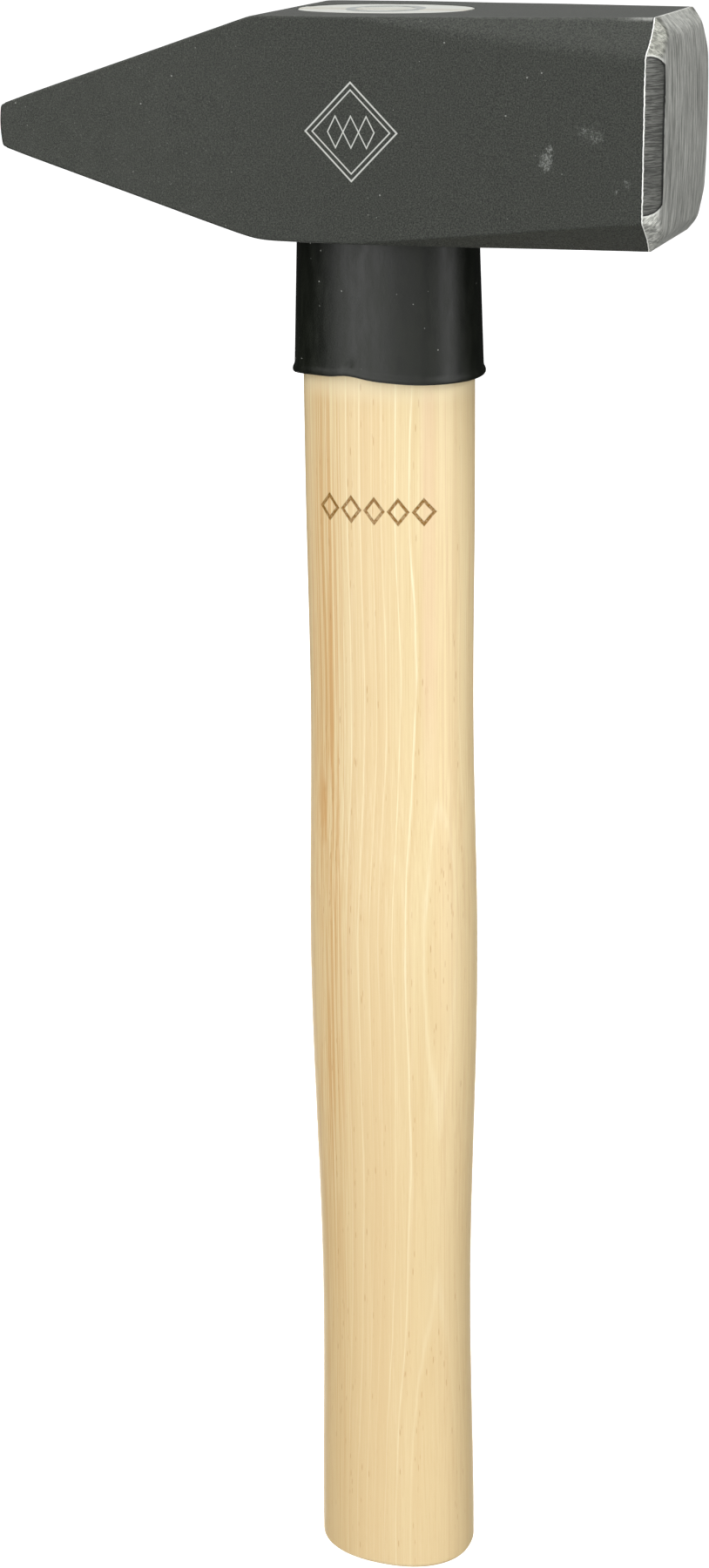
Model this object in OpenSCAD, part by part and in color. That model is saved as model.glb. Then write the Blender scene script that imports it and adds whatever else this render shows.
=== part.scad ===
// Cross-peen engineer's hammer, 2000 g pattern.
// The origin is the centre of the butt, +Z runs up the handle to the head,
// +X points at the striking face and -Y is the front cheek.

/* [Overall] */
// Length from the butt to the top of the head
overall_length = 398; // [370:1:430]

/* [Head] */
// Side of the square head
head_side = 49; // [46:0.5:52]
// Reach of the striking face from the handle axis
face_reach = 70.3; // [62:0.1:78]
// Reach of the peen tip from the handle axis
peen_reach = 85.1; // [74:0.1:94]
// Distance from the handle axis to the top of the peen slope
peen_start_top = 22.9; // [21.5:0.1:27]
// Distance from the handle axis to the bottom of the peen slope
peen_start_bottom = 22.7; // [20:0.1:27]
// Thickness of the peen tip
peen_tip = 9.5; // [6:0.5:12]
// Drop of the peen tip below the middle of the head
peen_drop = 0.6; // [0:0.1:2]
// Radius of the convex end of the peen
peen_end_radius = 25; // [15:1:60]
// Distance from the handle axis to where the corner facets begin
facet_start = 1; // [0:0.5:10]
// Setback of the upper corner facets at the striking face
facet_top = 7.5; // [4:0.1:10]
// Setback of the lower corner facets at the striking face
facet_bottom = 6.9; // [4:0.1:10]
// Size of the bevel round the striking face
face_bevel = 4.2; // [2:0.1:6]
// Radius of the crown on the striking face
crown_radius = 300; // [200:10:2000]

/* [Eye] */
// Length of the eye at its two mouths
eye_length = 40; // [36:0.5:41]
// Width of the eye at its two mouths
eye_width = 28.4; // [24:0.2:30]
// Narrowing of the eye at its middle, on each side
eye_pinch = 0.9; // [0.4:0.1:2]

/* [Handle] */
// Width of the handle at the butt
butt_width = 40.8; // [36:0.2:44]
// Width of the handle at its waist, above the butt
waist_width = 38.8; // [36:0.2:44]
// Width of the handle at the swell of the grip
swell_width = 42.2; // [38:0.2:46]
// Width of the handle at the neck, above the grip
neck_width = 40; // [38:0.2:44]
// Width of the handle at the shoulder, below the sleeve
shoulder_width = 40.6; // [40.6:0.2:44]
// Thickness of the butt as a share of its width
butt_thickness_share = 0.784; // [0.7:0.002:0.9]
// Thickness of the neck as a share of its width
neck_thickness_share = 0.72; // [0.7:0.002:0.8]
// Rounding of the edge of the butt
butt_rounding = 1.6; // [0.8:0.1:4]
// Squareness of the oval section, where 2 is a plain ellipse
section_exponent = 2.23; // [2:0.01:3]

/* [Sleeve] */
// Length of the sleeve below the head
sleeve_length = 32.8; // [20:0.2:40]
// Wall of the sleeve against the head
sleeve_wall_top = 1; // [1:0.1:3]
// Wall of the sleeve above its lip
sleeve_wall_bottom = 2; // [1:0.1:4]
// Extra thickness of the lip
lip_flare = 0.5; // [0.3:0.1:2]
// Height of the lip
lip_height = 2.4; // [1:0.1:5]

/* [Wedges] */
// Depth of the kerf and of the wooden wedge in it
kerf_depth = 34; // [25:1:40]
// Thickness of the wooden wedge at its top
wedge_top = 5; // [3:0.1:7]
// Thickness of the wooden wedge at its point
wedge_point = 1.2; // [0.8:0.1:2]
// Outside diameter of the ring wedge at its top
ring_diameter = 18; // [14:0.5:22]
// Height of the ring wedge
ring_height = 14; // [10:0.5:18]
// Wall of the ring wedge at its top
ring_wall = 2.2; // [1.5:0.1:3]
// Wall of the ring wedge at its cutting edge
ring_edge = 0.4; // [0.2:0.1:1]

/* [Hidden] */
$fn = 96;
sides = 48;
rings_per_stretch = 5;
butt_rings = 4;
big = 200;
cut_past = 1;
half = head_side / 2;
head_top = overall_length;
head_middle = head_top - half;
head_bottom = head_top - head_side;
sleeve_bottom = head_bottom - sleeve_length;

// Heights of the places where the handle is widest or narrowest, as shares of its grip length
waist_height = 0.215 * head_bottom;
swell_height = 0.485 * head_bottom;
neck_height = 0.69 * head_bottom;
shoulder_height = 0.833 * head_bottom;
station_heights = [0, waist_height, swell_height, neck_height, shoulder_height, head_bottom];

// Full width and thickness of the handle at each of those places, the last one against the head
ledge = 0.25;
middle_thickness_share = (butt_thickness_share + neck_thickness_share) / 2;
station_widths = [
    butt_width,
    waist_width,
    swell_width,
    neck_width,
    shoulder_width,
    eye_length + 2 * ledge
];
station_thicknesses = [
    butt_width * butt_thickness_share,
    waist_width * butt_thickness_share,
    swell_width * middle_thickness_share,
    neck_width * neck_thickness_share,
    shoulder_width * neck_thickness_share,
    eye_width + 2 * ledge
];

// An ease from 0 to 1 that starts and ends level
function ease(share) = (1 - cos(180 * share)) / 2;

// The number of the stretch between two stations that holds a height
function stretch_at(z, i = 0) =
    i >= len(station_heights) - 2 || z <= station_heights[i + 1] ? i : stretch_at(z, i + 1);

// Half the width or thickness of the handle at a height, level at each station
function half_size(sizes, z) =
    let (i = stretch_at(z))
    let (share = (z - station_heights[i]) / (station_heights[i + 1] - station_heights[i]))
    (sizes[i] + (sizes[i + 1] - sizes[i]) * ease(share)) / 2;

// How far the rounded edge of the butt stands in at a height
function butt_inset(z) =
    z >= butt_rounding ? 0
    : butt_rounding - sqrt(butt_rounding ^ 2 - (butt_rounding - z) ^ 2);

// How far the eye stands in from its mouths at a height, continued past both mouths
function eye_inset(z) = eye_pinch * (1 - abs(z - head_middle) / half);

// A section is its height with its half width and half thickness
function grip_section(z) = [
    z,
    half_size(station_widths, z) - butt_inset(z),
    half_size(station_thicknesses, z) - butt_inset(z)
];
function eye_section(z) = [z, eye_length / 2 - eye_inset(z), eye_width / 2 - eye_inset(z)];
function grown(section, by) = [section[0], section[1] + by, section[2] + by];

// One coordinate of the oval, from the sine or cosine of its angle
function rounded(value) = sign(value) * abs(value) ^ (2 / section_exponent);

// The points of one oval ring
function ring_points(section) = [
    for (i = [0 : sides - 1])
        let (angle = 360 * i / sides)
        [section[1] * rounded(cos(angle)), section[2] * rounded(sin(angle)), section[0]]
];

// A solid skinned over a stack of oval sections, the lowest first
module loft(sections) {
    last = len(sections) - 1;
    points = [for (section = sections) each ring_points(section)];
    walls = [
        for (level = [0 : last - 1], i = [0 : sides - 1])
            let (next = (i + 1) % sides)
            let (low = level * sides)
            let (high = low + sides)
            each [[low + i, high + i, high + next], [low + i, high + next, low + next]]
    ];
    floor_face = [for (i = [0 : sides - 1]) i];
    top_face = [for (i = [sides - 1 : -1 : 0]) last * sides + i];
    polyhedron(points, concat([floor_face], walls, [top_face]));
}

// Heights of the rings of the grip, closest together round the edge of the butt
butt_levels = [for (i = [0 : butt_rings]) butt_rounding * (1 - cos(90 * i / butt_rings))];
stretch_levels = [
    for (i = [0 : len(station_heights) - 2], step = [1 : rings_per_stretch])
        let (rise = station_heights[i + 1] - station_heights[i])
        station_heights[i] + rise * step / rings_per_stretch
];
grip_levels = concat(butt_levels, stretch_levels);
tenon_levels = [head_bottom, head_middle, head_top];
eye_levels = [head_bottom - cut_past, head_middle, head_top + cut_past];

// The handle before its end is slotted: the grip, then the tenon that fills the eye
module handle_blank() {
    grip = [for (z = grip_levels) grip_section(z)];
    tenon = [for (z = tenon_levels) eye_section(z)];
    loft(concat(grip, tenon));
}

// The hole through the head, a little longer than the head is high
module eye() {
    loft([for (z = eye_levels) eye_section(z)]);
}

// The kerf down the long axis of the eye, which the wooden wedge fills
module kerf(past = 0) {
    bottom = head_top - kerf_depth;
    slope = (wedge_top - wedge_point) / 2 / kerf_depth;
    top = head_top + past;
    top_half = wedge_top / 2 + slope * past;
    outline = [
        [-wedge_point / 2, bottom],
        [wedge_point / 2, bottom],
        [top_half, top],
        [-top_half, top]
    ];
    rotate([90, 0, 90]) linear_extrude(height = 2 * eye_length, center = true) polygon(outline);
}

// The conical steel ring, thick at its flush top and sharp below
module ring_body(past = 0) {
    middle = (ring_diameter - ring_wall) / 2;
    lean = (ring_wall - ring_edge) / 2 / ring_height;
    top_half = ring_wall / 2 + lean * past;
    rotate_extrude()
        polygon([
            [middle - top_half, head_top + past],
            [middle - ring_edge / 2, head_top - ring_height],
            [middle + ring_edge / 2, head_top - ring_height],
            [middle + top_half, head_top + past]
        ]);
}

// The side view of the head, with its two slopes and the convex end of the peen
module head_outline() {
    tip_low = -peen_drop - peen_tip / 2;
    tip_high = -peen_drop + peen_tip / 2;
    intersection() {
        polygon([
            [-peen_reach, tip_low],
            [-peen_start_bottom, -half],
            [face_reach, -half],
            [face_reach, half],
            [-peen_start_top, half],
            [-peen_reach, tip_high]
        ]);
        union() {
            translate([peen_end_radius - peen_reach, -peen_drop]) circle(peen_end_radius);
            translate([peen_end_radius - peen_reach, -half]) square([big, head_side]);
        }
    }
}

// What a corner facet cuts away: nothing at facet_start, the whole setback at the face
module facet_cut(setback) {
    fall = atan(setback / sqrt(2) / (face_reach - face_bevel - facet_start));
    translate([facet_start, -half, half])
        rotate([45, 0, 0])
            rotate([0, fall, 0])
                translate([0, -half, 0])
                    cube([big, head_side, half]);
}

// What one side of the bevel round the striking face cuts away
module bevel_cut(turn, flat_distance) {
    rotate([turn, 0, 0])
        translate([face_reach - face_bevel, 0, flat_distance])
            rotate([0, 45, 0])
                translate([-half, -half, 0])
                    cube([head_side, head_side, half]);
}

module head() {
    upper_flat = (head_side - facet_top) / sqrt(2);
    lower_flat = (head_side - facet_bottom) / sqrt(2);
    color([0.27, 0.28, 0.27])
    difference() {
        translate([0, 0, head_middle])
        difference() {
            rotate([90, 0, 0])
                linear_extrude(height = head_side, center = true)
                    head_outline();
            facet_cut(facet_top);
            mirror([0, 1, 0]) facet_cut(facet_top);
            mirror([0, 0, 1]) facet_cut(facet_bottom);
            mirror([0, 0, 1]) mirror([0, 1, 0]) facet_cut(facet_bottom);
            for (turn = [0 : 90 : 270]) bevel_cut(turn, half);
            for (turn = [-45, 45]) bevel_cut(turn, upper_flat);
            for (turn = [135, 225]) bevel_cut(turn, lower_flat);
            difference() {
                translate([0, -head_side, -head_side]) cube([big, 2 * head_side, 2 * head_side]);
                translate([face_reach - crown_radius, 0, 0]) sphere(crown_radius, $fn = 360);
            }
        }
        eye();
    }
}

module handle() {
    color([0.93, 0.83, 0.66])
    difference() {
        handle_blank();
        kerf(cut_past);
        ring_body(cut_past);
    }
}

module sleeve() {
    lip_top = sleeve_bottom + lip_height;
    low = grown(grip_section(sleeve_bottom), sleeve_wall_bottom + lip_flare);
    lip = grown(grip_section(lip_top), sleeve_wall_bottom);
    high = grown(grip_section(head_bottom), sleeve_wall_top);
    color([0.16, 0.16, 0.15])
    difference() {
        loft([low, lip, high]);
        handle_blank();
    }
}

module wood_wedge() {
    color([0.85, 0.72, 0.52])
    difference() {
        intersection() {
            loft([for (z = tenon_levels) eye_section(z)]);
            kerf();
        }
        ring_body(cut_past);
    }
}

module ring_wedge() {
    color([0.6, 0.6, 0.6]) ring_body();
}

head();
handle();
sleeve();
wood_wedge();
ring_wedge();
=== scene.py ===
"""A cross-peen engineer's hammer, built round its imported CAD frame.

Lengths are in millimetres, with the origin at the centre of the butt, and a piece's mesh is scaled to
metres as it is made. The head's own shape is worked out about the head's centre.
"""

import math

import bmesh
import bpy
from mathutils import Matrix, Vector, noise


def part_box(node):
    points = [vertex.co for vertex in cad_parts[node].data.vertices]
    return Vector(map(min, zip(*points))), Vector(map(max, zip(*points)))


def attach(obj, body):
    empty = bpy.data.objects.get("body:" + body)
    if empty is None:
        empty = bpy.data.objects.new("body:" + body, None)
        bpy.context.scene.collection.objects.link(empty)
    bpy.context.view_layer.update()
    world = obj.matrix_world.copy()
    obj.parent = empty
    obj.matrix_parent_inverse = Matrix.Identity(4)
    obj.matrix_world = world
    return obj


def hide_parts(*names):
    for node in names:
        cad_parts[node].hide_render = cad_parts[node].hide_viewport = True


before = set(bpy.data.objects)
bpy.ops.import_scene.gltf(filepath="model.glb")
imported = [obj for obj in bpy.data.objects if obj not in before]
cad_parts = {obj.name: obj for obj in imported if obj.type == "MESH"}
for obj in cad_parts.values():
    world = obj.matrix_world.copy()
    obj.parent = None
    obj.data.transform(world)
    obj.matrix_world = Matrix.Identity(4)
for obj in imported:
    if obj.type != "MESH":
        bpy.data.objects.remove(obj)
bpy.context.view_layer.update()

MM = 0.001


def node_box(node):
    """The lowest and highest corners of a CAD node, in millimetres."""
    low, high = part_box(node)
    return low / MM, high / MM


head_low, head_high = node_box("head")
sleeve_low, _ = node_box("sleeve")
wedge_low, wedge_high = node_box("wood_wedge")
ring_low, ring_high = node_box("ring_wedge")

# Driving sizes of the head, as in the CAD model
HEAD_BOTTOM = head_low.z
HEAD_TOP = head_high.z
HALF = (HEAD_TOP - HEAD_BOTTOM) / 2
HEAD_CENTRE = Vector((0, 0, (HEAD_TOP + HEAD_BOTTOM) / 2))
FACE_REACH = head_high.x
PEEN_REACH = -head_low.x
SLOPE_TOP = 22.9
SLOPE_BOTTOM = 22.7
TIP_THICKNESS = 9.5
TIP_DROP = 0.6
TIP_RADIUS = 25.0
FACET_START = 1.0
FACET_TOP = 7.5
FACET_BOTTOM = 6.9
FACE_BEVEL = 4.2
BEVEL_START = FACE_REACH - FACE_BEVEL
CROWN_RADIUS = 300.0
EYE_LENGTH = 40.0
EYE_WIDTH = 28.4
EYE_PINCH = 0.9

# Driving sizes of the handle, as in the CAD model
NECK_SHARE = 0.72
BUTT_SHARE = 0.784
MIDDLE_SHARE = (NECK_SHARE + BUTT_SHARE) / 2
OVAL_EXPONENT = 2.23
LEDGE = 0.25
BUTT_ROUNDING = 1.6
# Sections of the grip, as (share of its length, width, thickness)
STATIONS = (
    (0.0, 40.8, 40.8 * BUTT_SHARE),
    (0.215, 38.8, 38.8 * BUTT_SHARE),
    (0.485, 42.2, 42.2 * MIDDLE_SHARE),
    (0.69, 40.0, 40.0 * NECK_SHARE),
    (0.833, 40.6, 40.6 * NECK_SHARE),
    (1.0, EYE_LENGTH + 2 * LEDGE, EYE_WIDTH + 2 * LEDGE),
)

# Driving sizes of the wedges, as in the CAD model
WEDGE_POINT = 1.2
RING_WALL = 2.2
RING_EDGE = 0.4

# How far a cutter is carried on past the surface it comes through, and how near two points are the same
CUT_PAST = 1.0
SAME_POINT = 0.002


# ---------------------------------------------------------------- small helpers


def mix(a, b, share):
    return a + (b - a) * share


def ease(share):
    """From 0 to 1, level at both ends."""
    share = min(1.0, max(0.0, share))
    return (1 - math.cos(math.pi * share)) / 2


def soft_least(a, b, blend):
    """The smaller of two values, rounded where they cross."""
    return (a + b - math.sqrt((a - b) ** 2 + blend**2)) / 2


def bump(value, centre, width):
    """A smooth hump of height 1 that is 0 a width away from its centre."""
    return ease(1 - abs(value - centre) / width)


def spaced(low, high, count):
    """Evenly spaced values, from the first one after the low end to the high end."""
    return [low + (high - low) * i / count for i in range(1, count + 1)]


def round_turns(count):
    """Angles all the way round, starting at 0."""
    return [2 * math.pi * i / count for i in range(count)]


def new_mesh(name, points, faces):
    """A mesh in metres from points in millimetres."""
    mesh = bpy.data.meshes.new(name)
    mesh.from_pydata([tuple(Vector(p) * MM) for p in points], [], faces)
    mesh.validate()
    mesh.update()
    return mesh


def new_object(name, data):
    """An object in the scene."""
    made = bpy.data.objects.new(name, data)
    bpy.context.scene.collection.objects.link(made)
    return made


def make_piece(name, points, faces, material, smooth_angle=30):
    """A piece that is smooth except at edges sharper than the angle."""
    mesh = new_mesh(name, points, faces)
    piece = new_object(name, mesh)
    mesh.materials.append(material)
    finish_normals(piece, smooth_angle)
    return piece


def finish_normals(piece, smooth_angle):
    mesh = piece.data
    mesh.polygons.foreach_set("use_smooth", [True] * len(mesh.polygons))
    mesh.set_sharp_from_angle(angle=math.radians(smooth_angle))
    modifier = piece.modifiers.new("normals", "WEIGHTED_NORMAL")
    modifier.keep_sharp = True


def ring_faces(rings, per_ring):
    """Quads between rings of points that close on themselves."""
    return [
        (
            row * per_ring + i,
            row * per_ring + (i + 1) % per_ring,
            (row + 1) * per_ring + (i + 1) % per_ring,
            (row + 1) * per_ring + i,
        )
        for row in range(rings - 1)
        for i in range(per_ring)
    ]


def cut(piece, cutter_points, cutter_faces):
    """Takes a closed cutter out of a piece, and leaves no trace of the cutter."""
    mesh = new_mesh("cutter", cutter_points, cutter_faces)
    cutter = new_object("cutter", mesh)
    boolean = piece.modifiers.new("cut", "BOOLEAN")
    boolean.operation = "DIFFERENCE"
    boolean.solver = "EXACT"
    boolean.object = cutter
    graph = bpy.context.evaluated_depsgraph_get()
    result = bpy.data.meshes.new_from_object(piece.evaluated_get(graph), depsgraph=graph)
    piece.modifiers.clear()
    piece.data = result
    bpy.data.objects.remove(cutter)
    bpy.data.meshes.remove(mesh)


def merge_doubles(piece):
    """Joins points that lie on each other, and turns every face outwards."""
    work = bmesh.new()
    work.from_mesh(piece.data)
    bmesh.ops.remove_doubles(work, verts=work.verts, dist=SAME_POINT * MM)
    bmesh.ops.recalc_face_normals(work, faces=work.faces)
    work.to_mesh(piece.data)
    work.free()


# ---------------------------------------------------------------- materials


SOCKETS = {"specular": "Specular IOR Level"}


class Graph:
    """A material's node tree. Its calls take sockets or plain values and return sockets."""

    def __init__(self, name):
        self.material = bpy.data.materials.new(name)
        self.material.use_nodes = True
        self.tree = self.material.node_tree
        self.tree.nodes.clear()
        self.shader = self.add("BsdfPrincipled")
        self.tree.links.new(self.shader.outputs[0], self.add("OutputMaterial").inputs["Surface"])

    def add(self, kind):
        return self.tree.nodes.new("ShaderNode" + kind)

    def put(self, socket, value):
        if isinstance(value, bpy.types.NodeSocket):
            self.tree.links.new(value, socket)
        else:
            socket.default_value = value

    def fill(self, node, values):
        """Sets or links a node's inputs in their order, and returns the node."""
        for socket, value in zip(node.inputs, values):
            self.put(socket, value)
        return node

    def set(self, **values):
        """Sets or links the shader's sockets: base_color for Base Color, and so on."""
        for name, value in values.items():
            self.put(self.shader.inputs[SOCKETS.get(name, name.replace("_", " ").title())], value)

    def millimetres(self):
        """The point being shaded, in millimetres."""
        return self.scaled(self.add("TexCoord").outputs["Object"], (1 / MM, 1 / MM, 1 / MM))

    def vector(self, operation, *values):
        node = self.add("VectorMath")
        node.operation = operation
        return self.fill(node, values).outputs["Value" if operation == "LENGTH" else "Vector"]

    def scaled(self, vector, scale):
        return self.vector("MULTIPLY", vector, scale)

    def length(self, vector):
        return self.vector("LENGTH", vector)

    def split(self, vector):
        return tuple(self.fill(self.add("SeparateXYZ"), (vector,)).outputs)

    def joined(self, x, y, z):
        return self.fill(self.add("CombineXYZ"), (x, y, z)).outputs[0]

    def math(self, operation, *values, clamp=False):
        node = self.add("Math")
        node.operation = operation
        node.use_clamp = clamp
        return self.fill(node, values).outputs[0]

    def plus(self, a, b):
        return self.math("ADD", a, b)

    def minus(self, a, b):
        return self.math("SUBTRACT", a, b)

    def size(self, value):
        return self.math("ABSOLUTE", value)

    def times(self, first, *others):
        """The product of all the values."""
        for other in others:
            first = self.math("MULTIPLY", first, other)
        return first

    def largest(self, first, *others):
        for other in others:
            first = self.math("MAXIMUM", first, other)
        return first

    def ramp(self, value, low, high, start=0.0, end=1.0):
        """A value that goes smoothly from start to end as the input goes from low to high."""
        node = self.add("MapRange")
        node.interpolation_type = "SMOOTHSTEP"
        return self.fill(node, (value, low, high, start, end)).outputs[0]

    def band(self, value, width, soft):
        """1 where a value is within half a width of 0, fading over soft."""
        return self.ramp(self.size(value), width / 2, width / 2 + soft, 1.0, 0.0)

    def texture(self, kind, vector, scale):
        """A texture node. Its scale is one number, or one for each axis."""
        node = self.add(kind)
        if isinstance(scale, tuple):
            vector, scale = self.scaled(vector, scale), 1.0
        self.put(node.inputs["Vector"], vector)
        node.inputs["Scale"].default_value = scale
        return node

    def noise(self, vector, scale, detail=2.0, roughness=0.5):
        node = self.texture("TexNoise", vector, scale)
        node.inputs["Detail"].default_value = detail
        node.inputs["Roughness"].default_value = roughness
        return node.outputs["Fac"]

    def wobble(self, height, *noise_values):
        """Noise round 0, from half a height below it to half a height above."""
        return self.times(self.minus(self.noise(*noise_values), 0.5), height)

    def cells(self, vector, scale):
        """Distance to the nearest of many scattered points, and a random number for that point."""
        node = self.texture("TexVoronoi", vector, scale)
        return node.outputs["Distance"], self.split(node.outputs["Color"])[0]

    def blend(self, share, a, b):
        """A colour between a and b."""
        node = self.add("Mix")
        node.data_type = "RGBA"
        self.put(node.inputs["Factor"], share)
        self.put(node.inputs["A"], a)
        self.put(node.inputs["B"], b)
        return node.outputs["Result"]

    def attribute(self, name):
        node = self.add("Attribute")
        node.attribute_name = name
        return node.outputs["Fac"]

    def relief(self, height, distance):
        """A normal from a height between 0 and 1, over a distance in millimetres."""
        node = self.add("Bump")
        node.inputs["Distance"].default_value = distance * MM
        self.put(node.inputs["Height"], height)
        return node.outputs["Normal"]


def linear(red, green, blue):
    """A colour for a socket from its screen values between 0 and 255."""
    def one(value):
        value /= 255
        return value / 12.92 if value <= 0.04045 else ((value + 0.055) / 1.055) ** 2.4
    return (one(red), one(green), one(blue), 1.0)


def rounded_box(g, across, along, half_across, half_along, radius):
    """How far a point is outside a box with round corners; negative inside."""
    over_x = g.minus(g.size(across), half_across - radius)
    over_y = g.minus(g.size(along), half_along - radius)
    corner = g.joined(g.largest(over_x, 0.0), g.largest(over_y, 0.0), 0.0)
    inside = g.math("MINIMUM", g.largest(over_x, over_y), 0.0)
    return g.minus(g.plus(g.length(corner), inside), radius)


def diamond_lines(g, across, up, half_width, half_height, width):
    """1 on the outline of a diamond. The line's width is a share of the diamond's half size."""
    reach_x = g.math("DIVIDE", g.size(across), half_width)
    reach_y = g.math("DIVIDE", g.size(up), half_height)
    return g.band(g.minus(g.plus(reach_x, reach_y), 1.0), width, width * 0.35)


# ---------------------------------------------------------------- the head's material


COAT_DARK, COAT_PALE = linear(0, 0, 0), linear(67, 71, 63)
COAT_TONE, COAT_DUST, COAT_SPECK = linear(72, 74, 68), linear(112, 114, 108), linear(170, 172, 164)
# A painted shadow line where the coating is cut off
PAINTED_SHADOW_LINE = linear(8, 9, 8)
RUBBED, SCUFFED = linear(190, 191, 186), linear(160, 163, 158)
NICKED, ETCHED = linear(200, 201, 195), linear(206, 208, 202)
STEEL_DARK, STEEL_PALE = linear(150, 152, 146), linear(236, 237, 230)
# The first two colours on the next line paint shade on the upper corners of the grinding
SHADED_CORNER_DARK, SHADED_CORNER_PALE, CORNER_BLOTCH = linear(70, 71, 66), linear(166, 167, 157), linear(120, 120, 112)
# Partly burnished steel and partly a painted highlight, on the edges where the grinding ends
BURNISH_AND_HIGHLIGHT = linear(244, 245, 240)
SKIN_DARK, SKIN_PALE, SKIN_PATCH = linear(54, 55, 52), linear(122, 123, 118), linear(60, 61, 57)
SKIN_FORWARD, SKIN_RIM, SKIN_NICK = linear(58, 59, 55), linear(10, 11, 9), linear(215, 216, 210)

# The line where grinding starts, how uneven it is, and how far it bows forward on the corner facets
GRIND_START = BEVEL_START - 0.55
GRIND_RAGGED = 0.3
GRIND_BOW = 0.3
# The untouched middle of the bevel on each cheek: (along X, along Z) in head coordinates
WINDOW_CENTRE = (66.1, 0.6)
WINDOW_HALF = (3.1, 16.5)
WINDOW_RADIUS = 2.9
WINDOW_NICK = (66.7, 4.2 - HALF, -1.5)
# Scuffs on the front cheek, as (X, Z, half width, half height, kind)
SCUFFS = (
    (44.4, -5.0, 1.7, 3.0, "rubbed"),
    (45.0, -2.6, 1.0, 1.2, "rubbed"),
    (52.9, 1.4, 2.2, 1.6, "curls"),
    (55.0, 0.4, 2.2, 2.4, "curls"),
    (62.3, -9.4, 1.0, 1.4, "curls"),
    (59.8, -11.1, 0.6, 0.6, "curls"),
)
# Single bright nicks in the coating of the front cheek, as (X, Z)
NICKS = (
    (35.3, 4.3), (40.0, 12.4), (43.2, 13.4), (21.5, 19.3), (46.1, 19.8),
    (33.3, 22.0), (6.6, -13.4), (-42.1, 11.2), (-49.8, 5.0), (-80.8, 4.5),
)
# The badge on the front cheek: half the size of its outer diamonds, and of the three inside and their pitch
BADGE_DIAMONDS = (10.6, 9.0)
BADGE_LINE = 0.034
BADGE_SMALL = (1.8, 3.4)
BADGE_SMALL_LINE = 0.12
BADGE_PITCH = 3.6


def etched_mark(g, x, z):
    """A generic badge of nested diamonds with three small ones in a row."""
    outer = [diamond_lines(g, x, z, half, half, BADGE_LINE) for half in BADGE_DIAMONDS]
    small = [
        diamond_lines(g, g.minus(x, centre), z, *BADGE_SMALL, BADGE_SMALL_LINE)
        for centre in (-BADGE_PITCH, 0.0, BADGE_PITCH)
    ]
    return g.largest(*outer, *small)


def scuff_marks(g, place):
    """Rubbed patches and thin curls on the front cheek, from 0 to 1."""
    ragged = g.wobble(3.0, place, (1.6, 1.6, 1.12), 4.0, 0.8)
    fleck = g.ramp(g.noise(place, 2.3, 3.0, 0.8), 0.42, 0.6, 0.12, 1.0)
    curls = g.band(g.minus(g.noise(place, 0.9, 2.0, 0.6), 0.5), 0.02, 0.02)
    fillings = {"rubbed": fleck, "curls": g.times(g.largest(curls, 0.1), 0.65)}
    marks = []
    for x, z, half_x, half_z, kind in SCUFFS:
        offset = g.vector("SUBTRACT", place, (x, -HALF, z))
        reach = g.length(g.scaled(offset, (1 / half_x, 0.0, 1 / half_z)))
        patch = g.ramp(g.plus(reach, ragged), 0.3, 0.9, 1.0, 0.0)
        marks.append(g.times(patch, fillings[kind]))
    return g.largest(*marks)


def nick_marks(g, place):
    """Small round dots on the front cheek, from 0 to 1."""
    offsets = [g.vector("SUBTRACT", place, (x, -HALF, z)) for x, z in NICKS]
    return g.largest(*[g.ramp(g.length(offset), 0.08, 0.24, 1.0, 0.0) for offset in offsets])


def coating(g, place, grain):
    """The dark scaly coating's colour: grain, slow mottling, specks, wear, scuffs, nicks and a mark."""
    x, y, z = g.split(place)
    colour = g.blend(g.ramp(grain, 0.38, 0.64), COAT_DARK, COAT_PALE)
    mottling = g.ramp(g.noise(place, 0.16, 4.0, 0.6), 0.25, 0.75, 0.5, 1.0)
    colour = g.blend(g.times(mottling, g.ramp(x, 5.0, -60.0, 0.05, 0.3)), colour, COAT_TONE)
    dust = g.ramp(g.noise(place, 2.6, 3.0, 0.85), 0.58, 0.74)
    colour = g.blend(g.times(dust, g.ramp(x, 5.0, -45.0, 0.4, 0.75)), colour, COAT_DUST)
    near, chance = g.cells(place, 0.5)
    specks = g.times(g.ramp(near, 0.03, 0.08, 1.0, 0.0), g.ramp(chance, 0.8, 0.84))
    colour = g.blend(g.times(specks, 0.5), colour, COAT_SPECK)

    # The edges of the top and of the peen are rubbed a little, and most of all next to the striking face
    edge = g.times(g.attribute("edge"), g.ramp(z, HALF - 1.0, HALF - 0.4))
    worn = g.ramp(g.noise(place, 0.5, 4.0, 0.7), 0.4, 0.6, 0.3, 1.0)
    colour = g.blend(g.times(edge, g.ramp(x, 57.0, 64.0, 0.06, 0.5), worn), colour, RUBBED)

    front = g.ramp(y, -HALF + 0.6, -HALF + 0.2)
    colour = g.blend(g.times(scuff_marks(g, place), front, 0.55), colour, SCUFFED)
    colour = g.blend(g.times(nick_marks(g, place), 0.45), colour, NICKED)
    return g.blend(g.times(etched_mark(g, x, z), front, 0.85), colour, ETCHED)


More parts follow.
